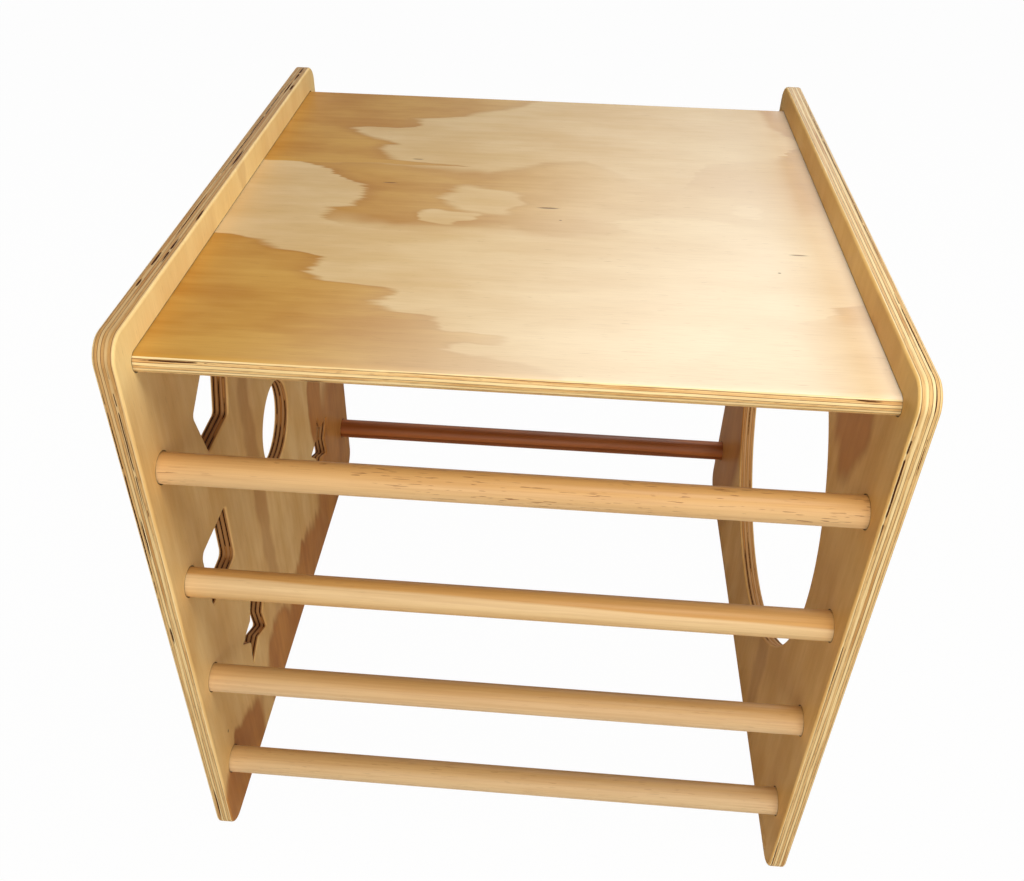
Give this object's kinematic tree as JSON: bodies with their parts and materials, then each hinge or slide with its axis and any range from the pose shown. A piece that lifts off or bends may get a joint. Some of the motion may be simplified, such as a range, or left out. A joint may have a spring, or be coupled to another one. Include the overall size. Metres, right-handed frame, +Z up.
{
  "type": "climbing cube",
  "caption": "Free-standing wooden climbing cube for small children: plywood sides with a round crawl hole and shaped cut-outs, a let-in plywood top and round climbing rungs.",
  "frame": {"origin": "on the floor, under the middle of the cube", "axes": "+X to the right seen from the climbing rungs, -Y to the front, where the climbing rungs are, +Z up"},
  "size_m": [0.63, 0.656, 0.656],
  "materials": {
    "side_plywood": "clear satin lacquer on birch plywood",
    "top_plywood": "clear satin lacquer on pale plywood",
    "pine_dowel": "sanded and lacquered round pine",
    "zinc_steel": "zinc plated, satin"
  },
  "bodies": {
    "root": {"side_panel_left": "side_plywood", "side_panel_right": "side_plywood", "top_panel": "top_plywood", "front_rung_1": "pine_dowel", "front_rung_2": "pine_dowel", "front_rung_3": "pine_dowel", "front_rung_4": "pine_dowel", "rear_rung": "pine_dowel", "front_rung_1_bolt_left": "zinc_steel", "front_rung_1_bolt_right": "zinc_steel", "front_rung_2_bolt_left": "zinc_steel", "front_rung_2_bolt_right": "zinc_steel", "front_rung_3_bolt_left": "zinc_steel", "front_rung_3_bolt_right": "zinc_steel", "front_rung_4_bolt_left": "zinc_steel", "front_rung_4_bolt_right": "zinc_steel", "rear_rung_bolt_left": "zinc_steel", "rear_rung_bolt_right": "zinc_steel", "top_bolt_left_1": "zinc_steel", "top_bolt_left_2": "zinc_steel", "top_bolt_left_3": "zinc_steel", "top_bolt_right_1": "zinc_steel", "top_bolt_right_2": "zinc_steel", "top_bolt_right_3": "zinc_steel", "front_rung_1_insert_left": "zinc_steel", "front_rung_1_insert_right": "zinc_steel", "front_rung_2_insert_left": "zinc_steel", "front_rung_2_insert_right": "zinc_steel", "front_rung_3_insert_left": "zinc_steel", "front_rung_3_insert_right": "zinc_steel", "front_rung_4_insert_left": "zinc_steel", "front_rung_4_insert_right": "zinc_steel", "rear_rung_insert_left": "zinc_steel", "rear_rung_insert_right": "zinc_steel", "top_barrel_nut_left_1": "zinc_steel", "top_barrel_nut_left_2": "zinc_steel", "top_barrel_nut_left_3": "zinc_steel", "top_barrel_nut_right_1": "zinc_steel", "top_barrel_nut_right_2": "zinc_steel", "top_barrel_nut_right_3": "zinc_steel"}
  },
  "joints": []
}
